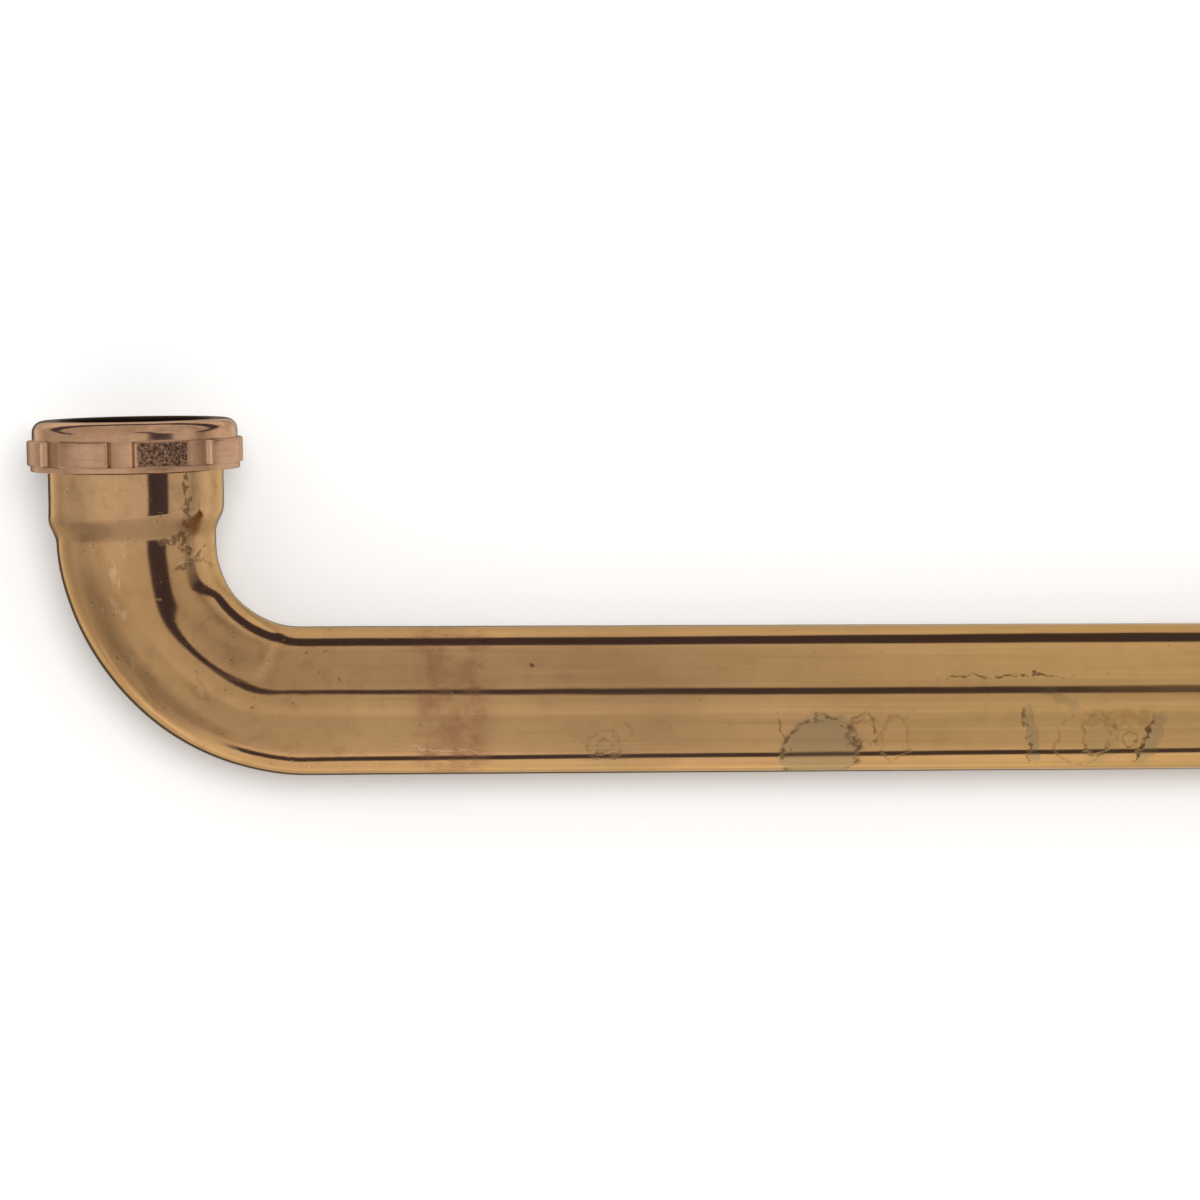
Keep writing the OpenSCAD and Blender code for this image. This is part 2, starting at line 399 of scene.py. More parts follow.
# %% [markdown]
# ## Light and floor
#
# The photograph shows brass in a white light tent. A mirror-like tube draws
# the gaps between the tent's panels as long dark lines, and its panels as wide
# soft zones. The tent here is a world that only reflections see; the floor and
# the background get plain white light.
#
# Directions are given by two angles in degrees, one turning across the run and
# one across the leg. Both are 0 towards the camera, and positive towards the
# inside of the elbow. Each list says how bright the tent is at an angle, with
# 1 for its plain cloth.

# %% The light tent
TENT_ACROSS_RUN = [
    (-180, 1.0), (-142, 1.0), (-136, 1.15), (-131, 1.55), (-125, 1.36), (-112, 1.32), (-106, 1.4), (-90, 1.4),
    (-86, 1.26), (-82, 1.06), (-72, 1.0), (-55, 0.96), (-40, 0.95), (-28, 0.91), (-20, 0.95), (-15, 1.12),
    (-8, 1.1), (-2, 1.02), (5, 0.95), (12, 0.98), (24, 0.90), (30, 0.82), (88, 0.85), (96, 0.98), (133, 1.2),
    (142, 1.05), (152, 0.95), (160, 0.75), (172, 1.0),
]
TENT_ACROSS_LEG = [
    (-180, 1.0), (-147, 1.1), (-142, 1.25), (-136, 1.0), (-126, 0.85), (-118, 0.75), (-105, 0.86), (-90, 0.82),
    (-75, 0.86), (-66, 0.95), (-45, 1.05), (-25, 1.06), (-10, 1.0), (13, 1.0), (46, 0.88), (52, 0.94),
    (64, 0.95), (72, 0.84), (80, 0.62), (87, 0.84), (95, 1.03), (104, 1.16), (112, 1.2), (122, 1.08),
    (135, 1.1), (147, 1.2), (153, 0.9), (159, 0.75), (166, 1.0), (179, 1.0),
]
TENT_CLOTH = linear("#FFFDF8")
TENT_GAP = linear("#5C566A")
TENT_DRIFT = 38.0
SHADED_SIDE = (-0.70, -0.68, 0.10)
DARK_FOOT = (-0.10, -0.15, -0.98)
PLAIN_LIGHT = 0.75


def cloth_tone(tree, angle, stops):
    """Brightness of the tent's cloth at an angle; the ramp holds halves, so that 2 is its most."""
    share = add(tree, RANGE, angle, -180.0, 180.0)
    ramp = add(tree, "ShaderNodeValToRGB", share)
    points = ramp.node.color_ramp.elements
    while len(points) < len(stops):
        points.new(0.5)
    for point, (at, level) in zip(points, stops):
        point.position = (at + 180) / 360
    for point, (at, level) in zip(points, stops):
        point.color = (level / 2, level / 2, level / 2, 1.0)
    return add(tree, MATH, ramp, 2.0, operation="MULTIPLY")


def faded(tree, level, amount):
    """The level where amount is 1, plain cloth where it is 0."""
    off = add(tree, MATH, level, 1.0, operation="SUBTRACT")
    return add(tree, MATH, off, amount, 1.0, operation="MULTIPLY_ADD")


def light_tent():
    world = bpy.data.worlds.new("light_tent")
    bpy.context.scene.world = world
    world.use_nodes = True
    tree = world.node_tree
    tree.nodes.clear()

    sky = add(tree, "ShaderNodeTexCoord", out="Generated")
    turned_back = add(tree, "ShaderNodeVectorRotate", sky, rotation_type="X_AXIS", named={"Angle": -REST_TILT})
    x, y, z = add(tree, "ShaderNodeSeparateXYZ", turned_back).node.outputs
    across_run = add(tree, MATH, add(tree, MATH, y, z, operation="ARCTAN2"), operation="DEGREES")
    across_leg = add(tree, MATH, add(tree, MATH, x, z, operation="ARCTAN2"), operation="DEGREES")

    # Each angle loses its meaning near its own pole, so its list fades out there
    weight = {}
    for name, pole in (("run", x), ("leg", y)):
        off_pole = add(tree, MATH, 1.0, add(tree, MATH, pole, 2.0, operation="POWER"), operation="SUBTRACT")
        weight[name] = add(tree, RANGE, off_pole, 0.09, 0.64, interpolation_type="SMOOTHSTEP")
    level = add(tree, MATH, faded(tree, cloth_tone(tree, across_run, TENT_ACROSS_RUN), weight["run"]),
                faded(tree, cloth_tone(tree, across_leg, TENT_ACROSS_LEG), weight["leg"]), operation="MULTIPLY")

    # A brighter panel by the outlet, a shaded side beyond the elbow, and the dark foot of the tent
    panel = add(tree, MATH, band(tree, x, 0.16, 0.3, 0.06), band(tree, across_run, 30, 96, 8), operation="MULTIPLY")
    level = add(tree, MATH, level, add(tree, MATH, panel, 0.3, 1.0, operation="MULTIPLY_ADD"), operation="MULTIPLY")
    for side, start, end, shade in ((SHADED_SIDE, 0.78, 0.97, 0.66), (DARK_FOOT, 0.895, 0.935, 0.14)):
        towards = add(tree, VECTOR, turned_back, side, operation="DOT_PRODUCT", out="Value")
        shade = add(tree, RANGE, towards, start, end, 1.0, shade, interpolation_type="SMOOTHSTEP")
        level = add(tree, MATH, level, shade, operation="MULTIPLY")

    # The upper gap runs just below the horizon, and climbs where it passes the leg
    climb = add(tree, RANGE, y, 0.05, 0.45, -0.5, 0.0, interpolation_type="SMOOTHSTEP")
    wide = band(tree, x, 0.15, 0.28, 0.07)
    middle = add(tree, MATH, wide, -0.06, -0.32, operation="MULTIPLY_ADD")
    half = add(tree, MATH, wide, 0.03, 0.165, operation="MULTIPLY_ADD")
    off = add(tree, MATH, add(tree, MATH, z, climb, operation="ADD"), middle, operation="SUBTRACT")
    off = add(tree, MATH, add(tree, MATH, off, operation="ABSOLUTE"), half, operation="DIVIDE")
    upper = add(tree, MATH, add(tree, RANGE, off, 1.07, 0.93), add(tree, RANGE, y, 0.0, 0.12), operation="MULTIPLY")

    # The lower gap ends before the elbow
    drift = add(tree, MATH, add(tree, "ShaderNodeClamp", x, 0.0, 0.25), TENT_DRIFT, operation="MULTIPLY")
    drifted = add(tree, MATH, across_run, drift, operation="SUBTRACT")
    past_elbow = add(tree, RANGE, x, -0.38, -0.2, interpolation_type="SMOOTHSTEP")
    lower = add(tree, MATH, band(tree, drifted, -104.5, -93.5, 1.0), past_elbow, operation="MULTIPLY")

    # The gap overhead narrows towards the elbow, then bends into the camera's dark block by the leg
    narrow = add(tree, "ShaderNodeClamp", add(tree, MATH, 7.0, across_leg, operation="SUBTRACT"), 0.0, 8.0)
    lifted = add(tree, MATH, narrow, -0.85, across_run, operation="MULTIPLY_ADD")
    overhead = add(tree, MATH, add(tree, RANGE, lifted, 10.4, 12.0), add(tree, RANGE, across_run, 22.8, 21.2),
                   operation="MULTIPLY")
    overhead = add(tree, MATH, overhead, band(tree, across_leg, -4, 13.6, 0.8), operation="MULTIPLY")
    block = add(tree, MATH, band(tree, across_leg, 15.4, 43, 2.2), band(tree, across_run, -10, 6.5, 2.0),
                operation="MULTIPLY")
    slanted = add(tree, MATH, across_leg, 1.3, across_run, operation="MULTIPLY_ADD")
    link = add(tree, MATH, band(tree, slanted, 26, 42, 1.5), band(tree, across_leg, 13.7, 40, 0.8),
               operation="MULTIPLY")
    link = add(tree, MATH, link, band(tree, across_run, 4, 30, 1.0), operation="MULTIPLY")
    dark = upper
    for gap in (lower, overhead, block, link):
        dark = add(tree, MATH, dark, gap, operation="MAXIMUM")

    bright = add(tree, "ShaderNodeMix", 1.0, out=2, data_type="RGBA", blend_type="MULTIPLY",
                 named={6: TENT_CLOTH, 7: level})
    tent = add(tree, "ShaderNodeMix", dark, out=2, data_type="RGBA", named={6: bright, 7: TENT_GAP})
    rays = add(tree, "ShaderNodeLightPath").node.outputs
    shine = add(tree, MATH, rays["Is Glossy Ray"], rays["Is Transmission Ray"], operation="MAXIMUM")
    plain = add(tree, RANGE, rays["Is Camera Ray"], 0.0, 1.0, PLAIN_LIGHT, 1.0)
    seen = add(tree, "ShaderNodeMix", shine, out=2, data_type="RGBA", named={6: plain, 7: tent})
    add(tree, "ShaderNodeOutputWorld", add(tree, "ShaderNodeBackground", seen, 1.0))


light_tent()

# %% [markdown]
# The floor is a plain white sheet. The photograph shows it as pure white, so a
# wide lamp hangs near the camera, where its shadow falls under the object. The
# floor is kept out of reflections, where the tent stands for it.

# %% Floor and lamp
FLOOR_SIZE = 6.0


def white_sheet():
    finish = bpy.data.materials.new("matt_white_sheet")
    finish.use_nodes = True
    tree = finish.node_tree
    tree.nodes.clear()
    add(tree, "ShaderNodeOutputMaterial", add(tree, "ShaderNodeBsdfDiffuse", linear("#FBFBFA")))
    half = FLOOR_SIZE / 2
    mesh = bpy.data.meshes.new("floor")
    mesh.from_pydata([(-half, -half, 0), (half, -half, 0), (half, half, 0), (-half, half, 0)], [], [(0, 1, 2, 3)])
    mesh.materials.append(finish)
    sheet = bpy.data.objects.new("floor", mesh)
    bpy.context.scene.collection.objects.link(sheet)
    sheet.visible_glossy = False


def wide_lamp():
    data = bpy.data.lights.new("wide_lamp", "AREA")
    data.shape = "DISK"
    data.size = 0.7
    data.energy = 10.0
    lamp = bpy.data.objects.new("wide_lamp", data)
    place = Vector((-0.06, 0.14, 1.5))
    lamp.matrix_world = Matrix.LocRotScale(place, place.to_track_quat("Z", "Y"), None)
    bpy.context.scene.collection.objects.link(lamp)
    lamp.visible_glossy = False


white_sheet()
wide_lamp()

# %% [markdown]
# ## Finishes
#
# All finishes read the place on the unbent tube, in millimetres: how far along
# from the outlet, how far across, and how high. So a stain is placed by a ruler
# laid on the tube, a grain size is a real size, and draw marks follow the bend.

# %% Shared parts of the finishes
def new_finish(name):
    """A material with a shader, and the place on the unbent tube in millimetres."""
    finish = bpy.data.materials.new(name)
    finish.use_nodes = True
    tree = finish.node_tree
    tree.nodes.clear()
    shader = add(tree, "ShaderNodeBsdfPrincipled").node
    add(tree, "ShaderNodeOutputMaterial", shader.outputs[0])
    unbent = add(tree, "ShaderNodeAttribute", attribute_name="unbent", out="Vector")
    place = add(tree, "ShaderNodeMapping", unbent, named={"Scale": (1000.0, 1000.0, 1000.0)})
    return finish, tree, shader, place


def tinted(tree, colour, tint, amount):
    """The colour mixed towards a tint by an amount."""
    return add(tree, "ShaderNodeMix", amount, out=2, data_type="RGBA", named={6: colour, 7: tint})


def scaled(tree, value, factor):
    """The value times a factor, kept between 0 and 1."""
    return add(tree, MATH, value, factor, operation="MULTIPLY", use_clamp=True)


def specks(tree, place, spacing, size, share):
    """Round specks, one in each cell of a given spacing, of which only a share is kept."""
    cells = add(tree, "ShaderNodeTexVoronoi", place, named={"Scale": 1 / spacing}).node.outputs
    pick = add(tree, "ShaderNodeSeparateColor", cells["Color"])
    kept = add(tree, MATH, pick, 1.0 - share, operation="SUBTRACT")
    radius = add(tree, MATH, kept, size / spacing / share, operation="MULTIPLY")
    inside = add(tree, MATH, radius, cells["Distance"], operation="SUBTRACT")
    return add(tree, MATH, inside, 16.0, operation="MULTIPLY", use_clamp=True)


def spot_reach(tree, place, along, across, half_long, half_wide, turn):
    """Distance from a spot's middle, where 1 is its edge."""
    high = math.sqrt(max(TUBE_R ** 2 - across ** 2, 0.0))
    own = add(tree, "ShaderNodeMapping", place, vector_type="TEXTURE", named={
        "Location": (along, across, high), "Rotation": (0.0, 0.0, math.radians(turn)),
        "Scale": (half_long, half_wide, max(half_long, half_wide) + 6.0)})
    return add(tree, VECTOR, own, operation="LENGTH", out="Value")


def spots(tree, place, rows):
    """One mask for a list of filled spots and rings: place, half sizes, turn, ring width and strength."""
    mask = None
    for along, across, half_long, half_wide, turn, ring, strength in rows:
        reach = spot_reach(tree, place, along, across, half_long, half_wide, turn)
        low = 1 - ring if ring else -1.0
        spot = scaled(tree, band(tree, reach, low, 1.0, ring / 2 if ring else 0.16), strength)
        mask = spot if mask is None else add(tree, MATH, mask, spot, operation="MAXIMUM")
    return mask


# %% [markdown]
# ### Drawn brass, unpolished
#
# The tube is cold drawn, bent and left rough. The drawing gives a bright skin
# with faint lines along the metal, so its reflections are nearly sharp. Storage
# and handling gave the rest: a cloudy tarnish a few centimetres wide, small
# brown pits that crowd round the bend, a pinkish ring where something was
# wrapped round it, and dried splashes near the middle. The marks are placed one
# by one, from the photograph.

# %% Stains on the tube: along, across, half length, half width, turn, ring width, strength
GREY_STAINS = [
    (208, -13, 10.5, 11, 0, 0, 0.7), (146, 1.5, 5.6, 1.3, 25, 0, 0.4), (153, -8.5, 8.2, 1.5, 77, 0, 0.6),
    (122, -10, 2.2, 8.0, 16, 0, 0.55), (135, -11, 5.0, 7.0, 0, 0, 0.25), (262, -13, 6, 5, 0, 0, 0.25),
]
DARK_STAINS = [
    (282.3, 9.8, 0.7, 0.7, 0, 0, 1.0), (208, -13, 10.5, 11, 0, 0.10, 0.8), (124, -10, 7.6, 0.75, -74, 0, 0.9),
    (217.4, -7.5, 6.6, 0.3, 63, 0, 0.6), (127.8, -9.3, 2.1, 2.1, 0, 0.22, 0.6), (161, 7.0, 17, 0.4, 0, 0, 0.8),
    (154.5, -8.5, 8.4, 0.5, 77, 0, 0.7), (197.5, -7.0, 3.6, 5.0, 0, 0.16, 0.6), (263.6, -10.3, 2.4, 2.2, 0, 0.24, 0.45),
    (412, 12.6, 12, 0.9, 2, 0, 0.75), (406, 9.0, 4.0, 1.0, 60, 0, 0.7), (403, 12, 3.0, 0.9, -50, 0, 0.7),
    (397, 11, 3.5, 0.8, 65, 0, 0.6), (401, 16, 3.0, 0.7, 40, 0, 0.6), (396, 16.5, 4.0, 0.7, -40, 0, 0.5),
    (377, 11.5, 0.9, 0.7, 0, 0, 0.7),
]
BROWN_STAINS = [
    (135.8, -8.4, 4.6, 6.0, 0, 0.16, 0.7), (140, -10, 7.2, 8.4, 0, 0.12, 0.45), (189, -9, 4, 7, 0, 0.2, 0.4),
    (197.5, -8, 4.3, 4.3, 0, 0.2, 0.6), (263.6, -10.3, 4.6, 4.2, 0, 0.16, 0.4), (259, -7, 3, 2.5, 0, 0.2, 0.35),
    (131, -4, 10, 3, 0, 0, 0.3), (372, -14, 3.0, 1.5, 20, 0, 0.4), (366, -4, 3.0, 2.0, 0, 0, 0.3),
]
PALE_STAINS = [
    (303.7, -11.3, 13.5, 0.28, 6.4, 0, 0.7), (398, -6.5, 3.2, 1.1, 5, 0, 0.7), (391, -8, 3.0, 1.4, -20, 0, 0.55),
    (404, -3.0, 2.6, 1.0, 10, 0, 0.4), (380, -11, 2.6, 0.6, 30, 0, 0.5), (392, -11.5, 1.2, 0.5, 0, 0, 0.6),
    (412, 15, 3.4, 0.8, 70, 0, 0.5), (399, 14, 4.5, 2.0, 60, 0, 0.45), (352, -15, 2.0, 0.4, 20, 0, 0.5),
]


# %% Drawn brass
def drawn_brass():
    finish, tree, shader, place = new_finish("drawn_brass_unpolished")
    along = add(tree, "ShaderNodeSeparateXYZ", place)

    # Clouds of tarnish 30 mm wide, blotches of 6 mm, and draw marks 1.5 mm apart and much longer
    cloud = add(tree, "ShaderNodeTexNoise", place, named={"Scale": 1 / 30, "Detail": 3.0, "Roughness": 0.6})
    blotch = add(tree, "ShaderNodeTexNoise", place, named={"Scale": 1 / 6, "Detail": 4.0, "Roughness": 0.65})
    drawn = add(tree, "ShaderNodeMapping", place, named={"Scale": (0.012, 0.65, 0.65)})
    streak = add(tree, "ShaderNodeTexNoise", drawn, named={"Scale": 1.0, "Detail": 3.0, "Roughness": 0.55})
    grain = add(tree, "ShaderNodeTexNoise", place, named={"Scale": 1 / 0.7, "Detail": 2.0, "Roughness": 0.6})
    at_bend = band(tree, along, 322, 700, 22)

    # Stains wander by a millimetre or two, and break up where the blotches are thin
    wander = add(tree, "ShaderNodeTexNoise", place, out="Color", named={"Scale": 1 / 3.5, "Detail": 3.0})
    wander = add(tree, VECTOR, wander, (0.5, 0.5, 0.5), operation="SUBTRACT")
    wander = add(tree, VECTOR, wander, named={"Scale": 5.0}, operation="SCALE")
    wandered = add(tree, VECTOR, place, wander, operation="ADD")
    broken = add(tree, RANGE, add(tree, "ShaderNodeTexNoise", place, named={"Scale": 1 / 1.8, "Detail": 3.0}),
                 0.4, 0.56)
    grey = spots(tree, wandered, GREY_STAINS)
    dark = add(tree, MATH, spots(tree, wandered, DARK_STAINS), broken, operation="MULTIPLY")
    brown = add(tree, MATH, spots(tree, wandered, BROWN_STAINS), broken, operation="MULTIPLY")
    pale = add(tree, MATH, spots(tree, wandered, PALE_STAINS), broken, operation="MULTIPLY")
    wandered_along = add(tree, "ShaderNodeSeparateXYZ", wandered)
    ring = add(tree, MATH, band(tree, wandered_along, 294, 311, 3.5), add(tree, RANGE, blotch, 0.36, 0.6),
               operation="MULTIPLY")
    shoulder = band(tree, along, LEG_START + 0.8, LEG_START + 5.6, 1.6)

    # Pits: few on the run, many in the bend and in the pinkish ring
    crowd = add(tree, MATH, at_bend, ring, operation="MAXIMUM")
    crowd = add(tree, MATH, crowd, add(tree, RANGE, blotch, 0.45, 0.62), operation="MULTIPLY")
    small_pits = add(tree, MATH, specks(tree, wandered, 1.4, 0.36, 0.45), crowd, operation="MULTIPLY")
    large_pits = specks(tree, wandered, 4.2, 0.6, 0.5)
    large_pits = scaled(tree, large_pits, add(tree, RANGE, at_bend, 0.0, 1.0, 0.25, 0.9))
    pits = add(tree, MATH, small_pits, large_pits, operation="MAXIMUM")
    dust = add(tree, MATH, specks(tree, wandered, 2.4, 0.30, 0.3), at_bend, operation="MULTIPLY")

    # The colour, from the clean metal to what lies on it
    colour = tinted(tree, linear("#B28C62"), linear("#A47F58"), add(tree, RANGE, cloud, 0.35, 0.65))
    colour = tinted(tree, colour, linear("#B08B58"), scaled(tree, add(tree, RANGE, along, 240, 150), 0.7))
    colour = tinted(tree, colour, linear("#B69270"), scaled(tree, add(tree, RANGE, along, 395, 412), 0.5))
    colour = tinted(tree, colour, linear("#8C6849"), scaled(tree, add(tree, RANGE, blotch, 0.5, 0.72), add(
        tree, RANGE, at_bend, 0.0, 1.0, 0.18, 0.5)))
    lines = add(tree, RANGE, at_bend, 0.0, 1.0, 0.34, 0.06)
    colour = tinted(tree, colour, linear("#C7A377"), scaled(tree, add(tree, RANGE, streak, 0.56, 0.75), lines))
    colour = tinted(tree, colour, linear("#8A6746"), scaled(tree, add(tree, RANGE, streak, 0.44, 0.25), lines))
    colour = tinted(tree, colour, linear("#7E5F42"), scaled(tree, shoulder, 0.3))
    colour = tinted(tree, colour, linear("#8A5A44"), scaled(tree, ring, 0.5))
    colour = tinted(tree, colour, linear("#84755A"), scaled(tree, grey, 0.8))
    colour = tinted(tree, colour, linear("#7A4E2A"), scaled(tree, brown, 0.8))
    colour = tinted(tree, colour, linear("#D8BD97"), scaled(tree, add(tree, MATH, pale, dust, operation="MAXIMUM"), 0.4))
    colour = tinted(tree, colour, linear("#4A3323"), scaled(tree, dark, 0.85))
    colour = tinted(tree, colour, linear("#5E3F29"), scaled(tree, pits, 0.8))
    tree.links.new(colour, shader.inputs["Base Color"])
    shader.inputs["Metallic"].default_value = 1.0
    shader.inputs["Specular Tint"].default_value = linear("#F2E1C7")

    # Bright where it was drawn, dull under stains and in pits
    marks = add(tree, MATH, add(tree, MATH, dark, brown, operation="MAXIMUM"), pits, operation="MAXIMUM")
    film = add(tree, MATH, add(tree, MATH, grey, ring, operation="MAXIMUM"), pale, operation="MAXIMUM")
    rough = add(tree, RANGE, cloud, 0.3, 0.7, 0.075, 0.115)
    rough = add(tree, MATH, marks, 0.3, rough, operation="MULTIPLY_ADD")
    rough = add(tree, MATH, film, 0.08, rough, operation="MULTIPLY_ADD")
    rough = add(tree, MATH, shoulder, 0.2, rough, operation="MULTIPLY_ADD")
    tree.links.new(rough, shader.inputs["Roughness"])

    # Relief: a fine skin, faint draw marks, and pits 0.03 mm deep
    relief = add(tree, MATH, grain, 0.0016, operation="MULTIPLY")
    relief = add(tree, MATH, streak, 0.0015, relief, operation="MULTIPLY_ADD")
    relief = add(tree, MATH, add(tree, MATH, blotch, at_bend, operation="MULTIPLY"), 0.02, relief,
                 operation="MULTIPLY_ADD")
    relief = add(tree, MATH, marks, -0.03, relief, operation="MULTIPLY_ADD")
    bump = add(tree, "ShaderNodeBump", named={"Strength": 1.0, "Distance": 0.001, "Height": relief})
    tree.links.new(bump, shader.inputs["Normal"])
    return finish


# %% [markdown]
# ### Cast brass
#
# The nut is sand cast, then tumbled and turned on its top. Casting leaves a
# fine orange-peel grain. The lugs' edges are painted lighter, partly tumbling
# wear and partly a painted highlight, and the recess floors are painted darker
# as painted shade. One lug keeps a rough panel, sunk, where other nuts carry
# lettering; here it is bare. Its dark colour is partly the rough casting and
# partly a painted dark reflection. The flange's inner edge and the thread are
# painted near black, a painted shade.

# %% Cast brass
def cast_brass():
    finish, tree, shader, place = new_finish("cast_brass")
    along, across, high = add(tree, "ShaderNodeSeparateXYZ", place).node.outputs
    turn = add(tree, MATH, add(tree, MATH, across, high, operation="ARCTAN2"), operation="DEGREES")
    square = add(tree, MATH, across, 2.0, operation="POWER")
    square = add(tree, MATH, add(tree, MATH, high, 2.0, operation="POWER"), square, operation="ADD")
    radius = add(tree, MATH, square, operation="SQRT")
    stand = add(tree, "ShaderNodeAttribute", attribute_name="stand", out="Fac")
    stand = add(tree, MATH, stand, 1000 / LUG_STAND, operation="MULTIPLY")
    leg = LEG_START - TANGENT

    cast = add(tree, "ShaderNodeTexNoise", place, named={"Scale": 1 / 1.1, "Detail": 4.0, "Roughness": 0.65})
    cloud = add(tree, "ShaderNodeTexNoise", place, named={"Scale": 1 / 7, "Detail": 3.0, "Roughness": 0.6})
    turned = add(tree, "ShaderNodeCombineXYZ", add(tree, MATH, along, 1.6, operation="MULTIPLY"), add(
        tree, MATH, turn, 0.03, operation="MULTIPLY"), 0.0)
    lathe = add(tree, "ShaderNodeTexNoise", turned, named={"Scale": 1.0, "Detail": 2.0, "Roughness": 0.6})
    pits = specks(tree, place, 0.9, 0.22, 0.4)

    in_band = band(tree, along, leg + BAND_LOW + 0.25, leg + BAND_TOP - 0.2, 0.15)
    panel = add(tree, MATH, band(tree, turn, 1.3, 28.6, 0.9), in_band, operation="MULTIPLY")
    panel = scaled(tree, panel, add(tree, RANGE, stand, 0.8, 0.95))
    # The recess floors; further down they get painted shade, weaker in the two recesses beside the panel's lug
    floor = scaled(tree, in_band, add(tree, RANGE, stand, 0.3, 0.05))
    # The lugs' rounded edges: partly tumbling wear, partly a painted highlight
    edge = scaled(tree, in_band, band(tree, stand, 0.2, 0.9, 0.1))
    from_panel = add(tree, MATH, add(tree, MATH, turn, LUG_PHASE, operation="SUBTRACT"), operation="ABSOLUTE")
    recess_painted_shade = scaled(tree, floor, add(tree, RANGE, from_panel, 18.0, 29.0))
    # Painted shade: the opening's edge and the bore under the flange, painted near black
    inside = add(tree, RANGE, radius, OPENING_R + 0.7, OPENING_R + 0.25)
    skirt = add(tree, MATH, add(tree, RANGE, radius, NUT_BORE_R + 1.3, NUT_BORE_R + 1.0),
                add(tree, RANGE, along, leg + FLANGE_LOW + 0.4, leg + FLANGE_LOW), operation="MULTIPLY")
    inside = add(tree, MATH, inside, skirt, operation="MAXIMUM")

    colour = tinted(tree, linear("#BC9679"), linear("#A98267"), add(tree, RANGE, cloud, 0.35, 0.65))
    colour = tinted(tree, colour, linear("#8C684F"), scaled(tree, add(tree, RANGE, cast, 0.55, 0.75), 0.35))
    colour = tinted(tree, colour, linear("#7C5942"), scaled(tree, add(tree, RANGE, lathe, 0.5, 0.75), 0.2))
    # Painted shade on the recess floors
    colour = tinted(tree, colour, linear("#7A5640"), scaled(tree, recess_painted_shade, 0.5))
    # A painted highlight, with tumbling wear, on the lugs' edges
    colour = tinted(tree, colour, linear("#E2C2A2"), scaled(tree, edge, 0.4))
    rough_dark = add(tree, RANGE, add(tree, "ShaderNodeTexNoise", place, named={
        "Scale": 1 / 0.75, "Detail": 3.0, "Roughness": 0.7}), 0.39, 0.64)
    # The panel's dark mottling: its rough casting, and a painted dark reflection
    panel_cast_and_painted_reflection = tinted(tree, linear("#2E201D"), linear("#A27D66"), rough_dark)
    colour = tinted(tree, colour, panel_cast_and_painted_reflection, scaled(tree, panel, 0.95))
    colour = tinted(tree, colour, linear("#4A3226"), scaled(tree, pits, 0.5))
    # Painted shade inside the opening and the bore
    colour = tinted(tree, colour, linear("#1B1310"), scaled(tree, inside, 0.93))
    tree.links.new(colour, shader.inputs["Base Color"])
    shader.inputs["Metallic"].default_value = 1.0
    shader.inputs["Specular Tint"].default_value = linear("#F4E6D8")

    smooth_top = add(tree, RANGE, along, leg + BAND_TOP, leg + BAND_TOP + 0.8)
    rough = add(tree, RANGE, smooth_top, 0.0, 1.0, 0.30, 0.15)
    rough = add(tree, MATH, panel, 0.2, rough, operation="MULTIPLY_ADD")
    rough = add(tree, MATH, inside, 0.35, rough, operation="MULTIPLY_ADD")
    tree.links.new(rough, shader.inputs["Roughness"])

    relief = add(tree, MATH, cast, add(tree, RANGE, smooth_top, 0.0, 1.0, 0.03, 0.012), operation="MULTIPLY")
    relief = add(tree, MATH, lathe, 0.01, relief, operation="MULTIPLY_ADD")
    relief = add(tree, MATH, scaled(tree, panel, rough_dark), 0.12, relief, operation="MULTIPLY_ADD")
    relief = add(tree, MATH, panel, -0.15, relief, operation="MULTIPLY_ADD")
    bump = add(tree, "ShaderNodeBump", named={"Strength": 1.0, "Distance": 0.001, "Height": relief})
    tree.links.new(bump, shader.inputs["Normal"])
    return finish


# %% [markdown]
# ### Moulded rubber
#
# The washer is black rubber from a mould: matt, faintly dusty, with a grain of
# about half a millimetre that only shows close up.

# %% Moulded rubber
def moulded_rubber():
    finish, tree, shader, place = new_finish("moulded_rubber")
    grain = add(tree, "ShaderNodeTexNoise", place, named={"Scale": 1 / 0.5, "Detail": 3.0})
    dusty = add(tree, "ShaderNodeTexNoise", place, named={"Scale": 1 / 5, "Detail": 3.0})
    colour = tinted(tree, linear("#171616"), linear("#2B2827"), add(tree, RANGE, dusty, 0.4, 0.7))
    tree.links.new(colour, shader.inputs["Base Color"])
    tree.links.new(add(tree, RANGE, dusty, 0.3, 0.7, 0.6, 0.85), shader.inputs["Roughness"])
    bump = add(tree, "ShaderNodeBump", named={"Strength": 1.0, "Distance": 0.001, "Height": add(
        tree, MATH, grain, 0.04, operation="MULTIPLY")})
    tree.links.new(bump, shader.inputs["Normal"])
    return finish


# %% [markdown]
# ## The tube
#
# The real tube was drawn straight, bent, and then widened at its end over a
# plug, with a thread rolled into the widened wall. So the neck flares from half
# way round the bend, more on its outer side, the bend is a little flattened,
# and the shoulder slants. The wall has one thickness, so the inside repeats
# the outside.

# %% Tube outline and mesh
FLARE_START = -33.0
FLARE_RISE = 1.2
SHOULDER_RISE = SOCKET_R - TUBE_R - FLARE_RISE
SOCKET_START = LEG_START + SHOULDER_H
TUBE_END = LEG_START + SHOULDER_H + SOCKET_H
THREAD_START = TUBE_END - 8.2
DENT_FREE_END = 6.0
LEAN = -1.5


def tube_radius(along):
    past_bend = along - LEG_START
    flare = FLARE_RISE * ease((past_bend - FLARE_START) / -FLARE_START)
    shoulder = SHOULDER_RISE * ease((past_bend - 0.2) / (SHOULDER_H - 0.2))
    return TUBE_R + flare + shoulder


